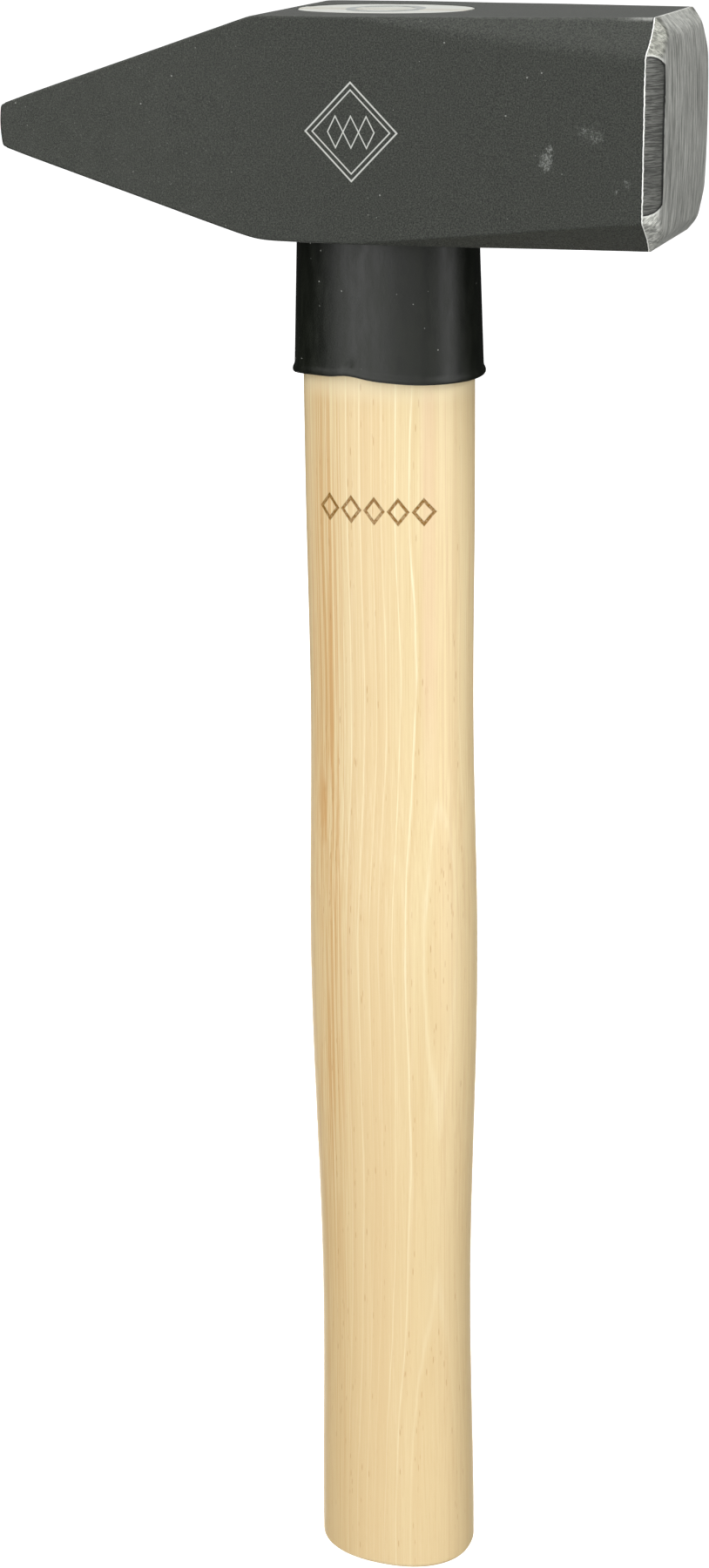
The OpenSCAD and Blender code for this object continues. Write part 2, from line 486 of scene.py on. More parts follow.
def ground_steel(g, place):
    """Ground steel: its colour, its brushing, and a share that is 1 on the corners.

    The brushing is upright on the face, and runs out from the middle on the corners.
    """
    x, y, z = g.split(place)
    wide, tall = g.size(y), g.size(z)
    coarse = g.noise(place, (0.6, 1.1, 0.07), 4.0, 0.7)
    fine = g.noise(place, (2.0, 6.0, 0.25), 3.0, 0.7)
    upright = g.plus(g.times(coarse, 0.55), g.times(fine, 0.45))
    reach = g.plus(wide, tall)
    radial = g.noise(g.joined(g.times(g.minus(wide, tall), 2.4), g.times(reach, 0.2), x), 1.0, 3.0, 0.75)
    corner = g.ramp(reach, 37.0, 39.0)
    brushed = g.plus(g.times(upright, g.minus(1.0, corner)), g.times(radial, corner))
    steel = g.blend(g.ramp(brushed, 0.36, 0.64), STEEL_DARK, STEEL_PALE)

    # Painted shade darkens the grinding on the upper corners, where the light falls brightest, and all of
    # them are blotchy
    upper = g.times(corner, g.ramp(z, 0.0, 10.0), 0.85)
    steel = g.blend(upper, steel, g.blend(g.ramp(radial, 0.36, 0.62), SHADED_CORNER_DARK, SHADED_CORNER_PALE))
    blotch = g.ramp(g.noise(place, 0.35, 3.0, 0.6), 0.4, 0.65)
    return g.blend(g.times(corner, blotch, 0.4), steel, CORNER_BLOTCH), brushed, corner


def window_skin(g, place, grain, window):
    """The window's forged skin, scratched across, dark against its rim and with one nick."""
    x, _, _ = g.split(place)
    scored = g.noise(place, (0.25, 0.25, 3.6), 3.0, 0.75)
    skin = g.blend(g.ramp(scored, 0.38, 0.66), SKIN_DARK, SKIN_PALE)
    skin = g.blend(g.ramp(g.noise(place, 0.25), 0.35, 0.7, 0.0, 0.3), skin, SKIN_PATCH)
    skin = g.blend(g.ramp(x, 65.9, 69.3, 0.0, 0.5), skin, SKIN_FORWARD)
    skin = g.blend(g.ramp(window, -0.42, -0.16, 0.0, 0.95), skin, SKIN_RIM)
    from_nick = g.length(g.vector("SUBTRACT", place, WINDOW_NICK))
    nick = g.times(g.ramp(from_nick, 0.2, 1.2, 1.0, 0.0), g.ramp(grain, 0.5, 0.56))
    return g.blend(nick, skin, SKIN_NICK)


def steel_material():
    """Dark coated forging with a ground striking face, worn edges, scuffs and an etched mark, and with
    painted highlights, a painted shadow line and painted shade about the grinding.
    """
    g = Graph("coated_forging")
    place = g.vector("SUBTRACT", g.millimetres(), tuple(HEAD_CENTRE))
    x, y, z = g.split(place)
    wide, tall = g.size(y), g.size(z)
    grain = g.noise(place, 2.9, 5.0, 0.85)
    coat = coating(g, place, grain)
    steel, brushed, corner = ground_steel(g, place)

    # How far a point lies past the line where grinding starts
    ragged = g.wobble(GRIND_RAGGED, place, 1.2, 3.0)
    across = g.times(g.minus(wide, tall), 1 / FACET_TOP)
    bow = g.times(g.largest(g.minus(1.0, g.times(across, across)), 0.0), GRIND_BOW)
    past = g.minus(g.plus(g.minus(x, GRIND_START), ragged), bow)

    # How far a point lies outside the window, and the share of it that keeps its skin
    from_middle = g.minus(x, WINDOW_CENTRE[0]), g.minus(z, WINDOW_CENTRE[1])
    window = rounded_box(g, *from_middle, *WINDOW_HALF, WINDOW_RADIUS)
    window = g.plus(window, g.times(ragged, 0.6))
    on_bevel = g.ramp(wide, HALF - FACE_BEVEL - 0.2, HALF - FACE_BEVEL)
    in_window = g.times(g.ramp(window, -0.05, 0.05, 1.0, 0.0), on_bevel, g.ramp(past, 0.26, 0.34))
    bare = g.math("SUBTRACT", g.ramp(past, -0.04, 0.04), in_window, clamp=True)
    coated = g.minus(1.0, bare)

    # Bright lines where the grinding ends, along the bevel's edge and round the window: partly burnished
    # steel and partly painted edge highlights
    edge_burnish_and_highlight = g.band(g.minus(past, 0.12), 0.14, 0.08)
    window_burnish_and_highlight = g.times(g.band(g.minus(window, 0.2), 0.26, 0.1), on_bevel, g.ramp(past, 0.0, 0.1), 0.4)
    steel = g.blend(g.largest(edge_burnish_and_highlight, window_burnish_and_highlight), steel, BURNISH_AND_HIGHLIGHT)

    # The coating is cut off cleanly, with a painted shadow line at its end
    coat = g.blend(in_window, coat, window_skin(g, place, grain, window))
    coat = g.blend(g.times(g.band(g.plus(past, 0.14), 0.14, 0.06), 0.8), coat, PAINTED_SHADOW_LINE)

    coat_rough = g.ramp(grain, 0.3, 0.7, 0.44, 0.56)
    steel_rough = g.plus(g.ramp(brushed, 0.3, 0.7, 0.38, 0.5), g.times(corner, 0.12))
    height = g.plus(g.times(grain, coated), g.times(brushed, bare))
    g.set(base_color=g.blend(bare, coat, steel), metallic=g.times(bare, 0.6), specular=0.36)
    g.set(roughness=g.plus(g.times(coat_rough, coated), g.times(steel_rough, bare)))
    g.set(normal=g.relief(height, 0.08))
    return g.material


# ---------------------------------------------------------------- the other materials


PALE, TAN, BROWN = linear(238, 218, 170), linear(224, 194, 142), linear(192, 136, 68)
GREY_END = linear(188, 194, 193)
WEDGE_PALE, WEDGE_TAN, WEDGE_END = linear(226, 196, 148), linear(196, 158, 104), linear(183, 187, 183)
LATE_WOOD, PALE_FIBRE, BROWN_LINES = linear(255, 245, 210), linear(254, 240, 206), linear(208, 154, 88)
# The second colour on the next line is painted light on the handle's sides, and the third is painted light
# just under the sleeve
BLUSH, PAINTED_LIGHT_SIDES, PAINTED_LIGHT_UNDER_SLEEVE = linear(234, 196, 166), linear(253, 230, 182), linear(255, 238, 196)
BURNED, BROWN_END = linear(136, 92, 2), linear(206, 172, 122)
PLASTIC_DARK, PLASTIC_PALE, PLASTIC_DUST = linear(10, 14, 6), linear(18, 22, 12), linear(190, 192, 186)
RING_DARK, RING_PALE = linear(148, 151, 149), linear(178, 181, 178)

# Growth rings: the middle of the trunk as seen from the handle's axis, and the mean width of a ring
PITH = (-29.0, 43.0)
RING_WIDTH = 1.25
# The ring that shows as a long lens on the swell and as a point over the butt is this far from the middle
LENS_RADIUS = 68.75
# The burned row of open diamonds: its height, its left end, its width and the height of a diamond
BURN_HEIGHT = 286.3
BURN_LEFT = -13.3
BURN_WIDTH = 28.6
BURN_TALL = 6.4
BURN_COUNT = 5
BURN_STROKE = 0.31


def wood_rings(g, place):
    """Growth rings: the place within a ring from 0 to 1, and two random numbers for the ring."""
    _, _, z = g.split(place)
    reach = g.length(g.scaled(g.vector("SUBTRACT", place, (*PITH, 0.0)), (1.0, 1.0, 0.0)))
    follows = g.minus(g.ramp(z, 40.0, 150.0, 0.0, 1.15), g.ramp(z, 160.0, 230.0, 0.0, 0.5))
    reach = g.minus(reach, follows)
    reach = g.plus(reach, g.wobble(1.1, place, (0.05, 0.05, 0.012)))
    reach = g.plus(reach, g.wobble(0.4, place, (0.5, 0.5, 0.02), 3.0))
    reach = g.minus(reach, LENS_RADIUS)
    uneven = g.noise(g.joined(reach, 0.0, 0.0), 0.31, 1.0)
    turns = g.plus(g.times(reach, 1 / RING_WIDTH), g.times(uneven, 1.6))
    number = g.math("FLOOR", turns)
    # Noise at a ring's number, in two places far from each other, gives the ring its random numbers
    one = g.noise(g.joined(number, 3.7, 0.0), 5.3, 0.0)
    two = g.noise(g.joined(number, 9.1, 4.0), 7.7, 0.0)
    return g.math("FRACT", turns), one, two


def burned_row(g, place):
    """1 on a generic row of open diamonds burned into the front."""
    x, y, z = g.split(place)
    pitch = BURN_WIDTH / BURN_COUNT
    along = g.math("DIVIDE", g.minus(x, BURN_LEFT), pitch)
    cell = g.times(g.minus(g.math("FRACT", along), 0.5), pitch)
    up = g.minus(z, BURN_HEIGHT)
    lines = diamond_lines(g, cell, up, pitch * 0.38, BURN_TALL / 2 - 0.4, BURN_STROKE)
    begin, end = g.ramp(along, 0.0, 0.02), g.ramp(along, BURN_COUNT - 0.02, BURN_COUNT, 1.0, 0.0)
    return g.times(lines, begin, end, g.ramp(y, -2.0, 0.0, 1.0, 0.0))


def hickory_material(name, pale, tan, dark, end_colour, is_handle):
    """Pale ring-porous wood with pores, fibre streaks and a satin lacquer."""
    g = Graph(name)
    place = g.millimetres()
    x, y, z = g.split(place)
    share, one, two = wood_rings(g, place)

    # Each ring has its own tint. Its inner edge is porous and browner, and its outer edge is a light line
    colour = g.blend(g.ramp(one, 0.3, 0.7, 0.0, 0.5), pale, tan)
    early = g.times(g.ramp(share, 0.0, 0.08), g.ramp(share, 0.1, 0.5, 1.0, 0.0))
    early = g.times(early, g.ramp(two, 0.3, 0.65, 0.25, 1.0))
    colour = g.blend(g.times(early, 0.5), colour, tan)
    late = g.times(g.ramp(share, 0.86, 0.93), g.ramp(share, 0.95, 1.0, 1.0, 0.0))
    late = g.times(late, g.ramp(two, 0.35, 0.7, 1.0, 0.2))
    colour = g.blend(g.times(late, 0.8), colour, LATE_WOOD)

    # Long fibres, fine and broad
    fibre = g.noise(place, (2.8, 2.8, 0.02), 4.0, 0.75)
    colour = g.blend(g.ramp(fibre, 0.45, 0.75, 0.0, 0.7), colour, tan)
    colour = g.blend(g.ramp(fibre, 0.5, 0.25, 0.0, 0.4), colour, PALE_FIBRE)
    broad = g.noise(place, (0.22, 0.22, 0.006))
    colour = g.blend(g.ramp(broad, 0.45, 0.75, 0.0, 0.5), colour, tan)

    # The left of the front is browner with tight dark lines, and the right has lines and a pink blush
    left = g.times(g.ramp(x, -3.5, -12.5), g.ramp(y, 2.0, -3.0))
    left = g.times(left, g.ramp(g.size(g.minus(z, 190.0)), 20.0, 190.0, 1.0, 0.45))
    lines = g.noise(place, (2.3, 0.9, 0.006), 3.0, 0.8)
    colour = g.blend(g.times(left, 0.2), colour, tan)
    colour = g.blend(g.times(left, g.ramp(lines, 0.46, 0.57, 0.0, 0.9)), colour, BROWN_LINES)
    right = g.times(g.ramp(x, 13.5, 17.0), g.ramp(y, 9.0, 3.0))
    colour = g.blend(g.times(right, g.ramp(lines, 0.48, 0.6, 0.0, 0.4)), colour, dark)
    blush = g.times(g.band(g.minus(x, 13.4), 1.2, 1.6), g.ramp(z, 200.0, 250.0))
    colour = g.blend(g.times(blush, 0.35), colour, BLUSH)

    # Painted light and shade: both sides are painted paler than the middle to lift their shading, and the
    # wood is painted a little darker towards the butt, as shade where the light falls off down the handle
    colour = g.blend(g.ramp(g.size(x), 12.0, 18.0, 0.0, 0.5), colour, PAINTED_LIGHT_SIDES)
    colour = g.blend(g.ramp(z, 300.0, 10.0, 0.0, 0.5), colour, tan)

    # Painted light: the wood is made palest just under the sleeve, to lift the shadow that the sleeve's lip
    # casts there
    painted_light_mask = g.ramp(z, sleeve_low.z - 6.0, sleeve_low.z - 0.5, 0.0, 0.55)
    colour = g.blend(painted_light_mask, colour, PAINTED_LIGHT_UNDER_SLEEVE)

    # Short open pores along the grain, most of them in the early wood
    near, chance = g.cells(place, (2.6, 2.6, 0.22))
    pores = g.times(g.ramp(near, 0.16, 0.3, 1.0, 0.0), g.ramp(chance, 0.55, 0.75))
    pores = g.times(pores, g.ramp(early, 0.1, 0.7, 0.12, 1.0))
    colour = g.blend(g.times(pores, 0.6), colour, dark)
    height = g.minus(fibre, g.times(pores, 0.9))

    if is_handle:
        burn = burned_row(g, place)
        spotty = g.ramp(g.noise(place, 1.4, 3.0, 0.7), 0.3, 0.6, 0.6, 1.0)
        colour = g.blend(g.times(burn, spotty), colour, BURNED)
        height = g.minus(height, g.times(burn, 2.0))

    # The sawn ends show the rings as arcs. The one at the butt is browner, and the one in the eye is greyer
    butt_end = g.ramp(z, 0.6, 0.1)
    colour = g.blend(g.times(butt_end, 0.45), colour, BROWN_END)
    arcs = g.times(butt_end, g.largest(early, g.times(pores, 0.9)))
    colour = g.blend(g.times(arcs, 0.55), colour, dark)
    eye_end = g.ramp(z, HEAD_TOP - 1.5, HEAD_TOP - 1.0)
    sawn = g.blend(g.times(early, 0.06), end_colour, dark)
    colour = g.blend(g.times(eye_end, 0.88), colour, sawn)
    if is_handle:
        # The joint round the wooden wedge is a thin dark line
        joint = g.band(g.minus(g.size(y), wedge_high.y + 0.08), 0.16, 0.05)
        colour = g.blend(g.times(eye_end, joint, 0.4), colour, dark)
    g.set(base_color=colour, roughness=g.ramp(fibre, 0.35, 0.7, 0.4, 0.52))
    g.set(normal=g.relief(height, 0.05), coat_weight=0.2, coat_roughness=0.35)
    return g.material


def sleeve_material():
    """Satin black moulded plastic with faint rubbing and a few specks of dust."""
    g = Graph("black_plastic")
    place = g.millimetres()
    rub = g.noise(place, (0.5, 0.5, 0.12), 4.0, 0.6)
    fine = g.noise(place, 3.0, 3.0, 0.6)
    colour = g.blend(g.ramp(rub, 0.35, 0.7), PLASTIC_DARK, PLASTIC_PALE)
    near, chance = g.cells(place, 0.35)
    dust = g.times(g.ramp(near, 0.03, 0.07, 1.0, 0.0), g.ramp(chance, 0.5, 0.56))
    colour = g.blend(g.times(dust, 0.8), colour, PLASTIC_DUST)
    g.set(base_color=colour, roughness=g.ramp(rub, 0.3, 0.7, 0.38, 0.5), specular=0.52)
    g.set(normal=g.relief(g.plus(fine, rub), 0.02))
    return g.material


def ring_material():
    """Dull grey steel, filed flush with the sawn end."""
    g = Graph("wedge_steel")
    marks = g.noise(g.millimetres(), (0.4, 7.0, 1.0), 3.0, 0.6)
    g.set(base_color=g.blend(g.ramp(marks, 0.3, 0.7), RING_DARK, RING_PALE))
    g.set(metallic=0.35, roughness=g.ramp(marks, 0.3, 0.7, 0.4, 0.55), normal=g.relief(marks, 0.03))
    return g.material


# ---------------------------------------------------------------- the head


SIDE_STEPS = 40
FACET_STEPS = 6
CORNER_STEPS = 5
TIP_STEPS = 4
# Half the turn at each corner of an octagon, and the most of a side that a rounded corner takes
HALF_CORNER = math.radians(22.5)
CORNER_REACH = 0.46
BODY_EDGE = 0.35
SLOPE_BLEND = 0.3
UNDER_BLEND = 0.9
FACE_BLEND = 1.1
# The tip: the rounding of its rim, the setbacks and radii inside it and on it, and how worn its last ring is
TIP_EDGE = 0.5
TIP_INSIDE = ((0.3,) * 4, (0.3,) * 3)
TIP_RIM = ((BODY_EDGE,) * 4, (0.4,) * 3)
TIP_LAST_WEAR = 0.6
# Rings of the tip, as shares of the outline inside its rim
TIP_SHARES = (0.0, 0.2, 0.4, 0.6, 0.8, 0.93, 1.0)
BODY_END = BEVEL_START - 0.3
# Rings along the slopes, from 0 at the tip to 1 at the bend, and along the body, from 1 to 2
BODY_STATIONS = [0.02] + spaced(0.02, 0.92, 22) + spaced(0.92, 1.08, 16) + spaced(1.08, 2.0, 34)
# The tip's convex shape fades out over this share of the slopes
TIP_FADE = 0.12
# Corner radii of the body, as (cheek to upper facet, upper facet to top, lower ones)
SOFT_CORNERS = (4.5, 0.45, 0.7)
# Setbacks of the face's own corners: (back lower, back upper, front upper, front lower)
FACE_CORNERS = (5.2, 5.6, 2.6, 1.4)
FACE_CORNER_RADII = (5.0, 3.0, 3.5)
# Rings of the bevel and of the face next to it, by how far they stand inwards, and of the rest of the face,
# as shares of the last of those
FACE_INSETS = (0.0, 0.1, 0.25, 0.5, 0.9, 1.4, 1.9, 2.4, 2.8, 3.1, 3.4, 3.7, 4.0, 4.3, 4.6, 5.0, 5.5, 6.2)
FACE_SHARES = (0.9, 0.78, 0.64, 0.5, 0.36, 0.22, 0.1, 0.0)
# Crisp corners count as worn edges on the bevel's first rings, up to this inset
WORN_INSET = 0.2
# Unevenness of the forged surface, as (height, length)
FORGED_WAVES = ((0.05, 17.0), (0.02, 5.0))
EYE_SIDES = 128
EYE_MOUTH = 0.5
HEAD_SMOOTH = 28


def top_height(x):
    """Height of the head's upper surface, the slope of the peen included."""
    rise = (HALF - (TIP_THICKNESS / 2 - TIP_DROP)) / (PEEN_REACH - SLOPE_TOP)
    return soft_least(HALF, HALF + (x + SLOPE_TOP) * rise, SLOPE_BLEND)


def bottom_height(x):
    rise = (HALF - (TIP_THICKNESS / 2 + TIP_DROP)) / (PEEN_REACH - SLOPE_BOTTOM)
    return -soft_least(HALF, HALF + (x + SLOPE_BOTTOM) * rise, UNDER_BLEND)


def setback(x, at_face):
    """How far a corner facet stands back at a place along the head."""
    share = (x - FACET_START) / (BEVEL_START - FACET_START)
    return BODY_EDGE + (at_face - BODY_EDGE) * max(0.0, share)


def corner_ring(half_width, top, bottom, setbacks, radii):
    """Points round an octagon with rounded corners, as (y, z, edge): edge is 1 on a crisp corner."""
    back_low, back_up, front_up, front_low = setbacks
    cheek, upper, lower = radii
    outline = (
        ((half_width, bottom + back_low), lower), ((half_width, top - back_up), cheek),
        ((half_width - back_up, top), upper), ((-half_width + front_up, top), upper),
        ((-half_width, top - front_up), cheek), ((-half_width, bottom + front_low), lower),
        ((-half_width + front_low, bottom), lower), ((half_width - back_low, bottom), lower),
    )
    corners = [Vector(point) for point, _ in outline]
    count = len(corners)
    limits = [CORNER_REACH * (corners[(i + 1) % count] - corners[i]).length for i in range(count)]
    arcs = []
    for i, (here, (_, radius)) in enumerate(zip(corners, outline)):
        before = (corners[i - 1] - here).normalized()
        after = (corners[(i + 1) % count] - here).normalized()
        reach = min(radius * math.tan(HALF_CORNER), limits[i - 1], limits[i])
        start, end = here + before * reach, here + after * reach
        arc = []
        for step in range(CORNER_STEPS + 1):
            t = step / CORNER_STEPS
            arc.append(start * (1 - t) ** 2 + here * (2 * t * (1 - t)) + end * t**2)
        arcs.append(arc)
    points = []
    for i, (arc, (_, radius)) in enumerate(zip(arcs, outline)):
        crisp = 1.0 if radius < 1 else 0.0
        points += [(p.x, p.y, crisp) for p in arc]
        steps = SIDE_STEPS if i % 2 == 0 else FACET_STEPS
        start, end = arc[-1], arcs[(i + 1) % count][0]
        for step in range(1, steps):
            point = start.lerp(end, step / steps)
            points.append((point.x, point.y, 0.0))
    return points


def tip_face(z):
    """How far the convex end of the peen falls back from its middle."""
    offset = min(abs(z + TIP_DROP), TIP_THICKNESS / 2)
    return TIP_RADIUS - math.sqrt(TIP_RADIUS**2 - offset**2)


def face_x(y, z, inset):
    """Where the bevel or the crowned face lies, whichever is further back, at an inset from the sides."""
    crowned = FACE_REACH - (CROWN_RADIUS - math.sqrt(CROWN_RADIUS**2 - y * y - z * z))
    return soft_least(BEVEL_START + inset, crowned, FACE_BLEND)


def tip_rings():
    """The rings of the convex end of the peen, from its middle to its rounded edge."""
    top, bottom = top_height(-PEEN_REACH), bottom_height(-PEEN_REACH)
    rings = []
    base = corner_ring(HALF - TIP_EDGE, top - TIP_EDGE, bottom + TIP_EDGE, *TIP_INSIDE)
    for share in TIP_SHARES:
        inner = [(y * share, -TIP_DROP + (z + TIP_DROP) * share) for y, z, _ in base]
        rings.append([(-PEEN_REACH + tip_face(z), y, z, 0.0) for y, z in inner])
    for step in range(1, TIP_STEPS + 1):
        turn = math.radians(90 * step / TIP_STEPS)
        inset = TIP_EDGE * (1 - math.sin(turn))
        start = -PEEN_REACH + TIP_EDGE * (1 - math.cos(turn))
        edge = 1.0 if step < TIP_STEPS else TIP_LAST_WEAR
        section = corner_ring(HALF - inset, top - inset, bottom + inset, *TIP_RIM)
        rings.append([(start + tip_face(z), y, z, edge) for y, z, _ in section])
    return rings


def body_rings():
    """The slopes and the body. The slope starts further back on top than below, so rings there lean."""
    rings = []
    for station in BODY_STATIONS:
        if station <= 1:
            x_top = mix(-PEEN_REACH, -SLOPE_TOP, station)
            x_bottom = mix(-PEEN_REACH, -SLOPE_BOTTOM, station)
        else:
            x_top = mix(-SLOPE_TOP, BODY_END, station - 1)
            x_bottom = mix(-SLOPE_BOTTOM, BODY_END, station - 1)
        top, bottom = top_height(x_top), bottom_height(x_bottom)
        upper, lower = (setback((x_top + x_bottom) / 2, size) for size in (FACET_TOP, FACET_BOTTOM))
        section = corner_ring(HALF, top, bottom, (lower, upper, upper, lower), SOFT_CORNERS)
        near_tip = max(0.0, 1 - station / TIP_FADE)
        ring = []
        for y, z, edge in section:
            share = (z - bottom) / (top - bottom)
            x = mix(x_bottom, x_top, share) + near_tip * tip_face(z * TIP_THICKNESS / (top - bottom))
            ring.append((x, y, z, edge))
        rings.append(ring)
    return rings


def face_rings():
    """The bevel round the striking face, then the crowned face to its middle."""
    rings = []
    start = (FACET_BOTTOM, FACET_TOP, FACET_TOP, FACET_BOTTOM)
    for inset in FACE_INSETS:
        share = min(1.0, inset / FACE_BEVEL)
        setbacks = tuple(mix(a, b, share) for a, b in zip(start, FACE_CORNERS))
        radii = tuple(mix(a, b, ease(share)) for a, b in zip(SOFT_CORNERS, FACE_CORNER_RADII))
        reach = HALF - inset
        section = corner_ring(reach, reach, -reach, setbacks, radii)
        worn = 1 if inset < WORN_INSET else 0
        rings.append([(face_x(y, z, inset), y, z, edge * worn) for y, z, edge in section])
    rim = rings[-1]
    for share in FACE_SHARES:
        inner = [(y * share, z * share) for _, y, z, _ in rim]
        rings.append([(face_x(y, z, HALF - max(abs(y), abs(z))), y, z, 0.0) for y, z in inner])
    return rings


def forged(point):
    """A small unevenness of the forged surface, the same on every run."""
    return sum(height * noise.noise(point / length) for height, length in FORGED_WAVES)


def oval_point(half_width, half_thickness, turn, z=0.0):
    c, s = math.cos(turn), math.sin(turn)
    x = half_width * math.copysign(abs(c) ** (2 / OVAL_EXPONENT), c)
    y = half_thickness * math.copysign(abs(s) ** (2 / OVAL_EXPONENT), s)
    return (x, y, z)


def oval(half_width, half_thickness, z, count):
    """Points round an oval section."""
    return [oval_point(half_width, half_thickness, turn, z) for turn in round_turns(count)]


def stack(ovals):
    """A closed solid skinned over ovals of equally many points, the lowest first."""
    count = len(ovals[0])
    points = [p for ring in ovals for p in ring]
    faces = ring_faces(len(ovals), count)
    faces.append(tuple(range(count - 1, -1, -1)))
    faces.append(tuple((len(ovals) - 1) * count + i for i in range(count)))
    return points, faces


def eye_half(z, extra=0.0):
    """Half the length and half the width of the eye at a height."""
    inset = EYE_PINCH * (1 - abs(z - HEAD_CENTRE.z) / HALF)
    return EYE_LENGTH / 2 - inset + extra, EYE_WIDTH / 2 - inset + extra


def eye_cutter():
    """The space of the eye, with a small bevel at each mouth, carried on past both ends."""
    past = EYE_MOUTH + CUT_PAST
    levels = (
        (HEAD_BOTTOM - CUT_PAST, past), (HEAD_BOTTOM, EYE_MOUTH), (HEAD_BOTTOM + EYE_MOUTH, 0.0),
        (HEAD_CENTRE.z, 0.0),
        (HEAD_TOP - EYE_MOUTH, 0.0), (HEAD_TOP, EYE_MOUTH), (HEAD_TOP + CUT_PAST, past),
    )
    return stack([oval(*eye_half(z, extra), z, EYE_SIDES) for z, extra in levels])


def make_head(material):
    rings = tip_rings() + body_rings() + face_rings()
    points, edges = [], []
    for ring in rings:
        for x, y, z, edge in ring:
            place = Vector((x, y, z))
            if x < BEVEL_START and place.yz.length > 0:
                place -= Vector((0, y, z)).normalized() * forged(place)
            points.append(place + HEAD_CENTRE)
            edges.append(edge)
    faces = ring_faces(len(rings), len(rings[0]))
    piece = make_piece("forged_head", points, faces, material)
    attribute = piece.data.attributes.new("edge", "FLOAT", "POINT")
    attribute.data.foreach_set("value", edges)
    cut(piece, *eye_cutter())
    merge_doubles(piece)
    finish_normals(piece, HEAD_SMOOTH)
    return piece


# ---------------------------------------------------------------- the handle


GRIP_SIDES = 144
GRIP_STEPS = 150
BUTT_STEPS = 8
# Smaller ovals fill the butt, as shares of its size, so that its face is made of even quads
BUTT_SHARES = (0.15, 0.4, 0.65, 0.85)
# The tenon's play in the eye, and how far its end lies below the head's top
TENON_GAP = 0.02
TENON_SINK = 0.1
HANDLE_SMOOTH = 35
RING_SIDES = 96


def grip_half(z):
    """Half the width and half the thickness of the handle at a height."""
    share = min(1.0, max(0.0, z / HEAD_BOTTOM))
    for (low, wide_low, thick_low), (high, wide_high, thick_high) in zip(STATIONS, STATIONS[1:]):
        if share <= high:
            break
    t = ease((share - low) / (high - low))
    return mix(wide_low, wide_high, t) / 2, mix(thick_low, thick_high, t) / 2


def kerf_cutter():
    """The space of the wooden wedge, carried on past the end of the tenon."""
    slope = (wedge_high.y - WEDGE_POINT / 2) / (wedge_high.z - wedge_low.z)
    bottom, top = WEDGE_POINT / 2, wedge_high.y + slope * CUT_PAST
    low, high = wedge_low.z, wedge_high.z + CUT_PAST
    section = ((-bottom, low), (bottom, low), (top, high), (-top, high))
    points = [(x, y, z) for x in (-EYE_LENGTH, EYE_LENGTH) for y, z in section]
    sides = [(i, (i + 1) % 4, (i + 1) % 4 + 4, i + 4) for i in range(4)]
    return points, [(3, 2, 1, 0), (4, 5, 6, 7)] + sides


def ring_cutter():
    """The space of the ring wedge, carried on past the end of the tenon."""
    middle = ring_high.x - RING_WALL / 2
    slope = (RING_WALL - RING_EDGE) / 2 / (ring_high.z - ring_low.z)
    bottom, top = RING_EDGE / 2, RING_WALL / 2 + slope * CUT_PAST
    low, high = ring_low.z, ring_high.z + CUT_PAST
    section = ((middle + bottom, low), (middle + top, high), (middle - top, high), (middle - bottom, low))
    points = [
        (r * math.cos(turn), r * math.sin(turn), z) for turn in round_turns(RING_SIDES) for r, z in section
    ]
    faces = []
    for i in range(RING_SIDES):
        here, there = i * 4, (i + 1) % RING_SIDES * 4
        faces += [(here + k, there + k, there + (k + 1) % 4, here + (k + 1) % 4) for k in range(4)]
    return points, faces


def make_handle(material):
    ovals = []
    for step in range(BUTT_STEPS + 1):
        turn = math.radians(90 * step / BUTT_STEPS)
        z = BUTT_ROUNDING * (1 - math.cos(turn))
        inset = BUTT_ROUNDING * (1 - math.sin(turn))
        wide, thick = grip_half(z)
        ovals.append(oval(wide - inset, thick - inset, z, GRIP_SIDES))
    for z in spaced(BUTT_ROUNDING, HEAD_BOTTOM, GRIP_STEPS):
        ovals.append(oval(*grip_half(z), z, GRIP_SIDES))
    for z in (HEAD_BOTTOM, HEAD_CENTRE.z, HEAD_TOP - TENON_SINK):
        ovals.append(oval(*eye_half(z, -TENON_GAP), z, GRIP_SIDES))
    butt = [[(x * share, y * share, z) for x, y, z in ovals[0]] for share in BUTT_SHARES]
    points, faces = stack(butt + ovals)
    piece = make_piece("hickory_handle", points, faces, material, HANDLE_SMOOTH)
    cut(piece, *kerf_cutter())
    cut(piece, *ring_cutter())
    merge_doubles(piece)
    finish_normals(piece, HANDLE_SMOOTH)
    return piece


# ---------------------------------------------------------------- the sleeve


SLEEVE_SIDES = 200
SLEEVE_STEPS = 36
SLEEVE_SMOOTH = 40
SLEEVE_WALL_TOP = 1.0
SLEEVE_WALL_BOTTOM = 2.0
SLEEVE_GAP = 0.05
LIP_FLARE = 0.5
LIP_HEIGHT = 2.4
# The lip's section from the inside of the rim to the start of its flare, as (height over the rim, wall)
LIP_INSIDE = ((0.5, SLEEVE_GAP), (0.1, 0.3), (0.0, 0.8), (0.0, SLEEVE_WALL_BOTTOM - 0.3))
# The flare, as (height over the rim, share of the flare)
LIP_OUTSIDE = ((0.12, 0.55), (0.4, 0.92), (0.8, 1.0), (1.2, 0.8), (1.6, 0.4), (2.0, 0.12), (LIP_HEIGHT, 0.0))
# The rim was trimmed unevenly, most of all left of the front: (height, direction, half width)
RIM_HUMPS = ((1.15, 248, 60), (0.6, 261, 15))
# A slanting dent over the rim: how deep, its direction and half width, its slant, its height and half height
DENT_DEPTH = 0.4
DENT_TURN, DENT_WIDTH, DENT_SLANT = 257, 3.0, 1.6
DENT_RISE, DENT_HEIGHT = 2.4, 1.9
# A height over the rim that no dent reaches
CLEAR_RISE = 20.0


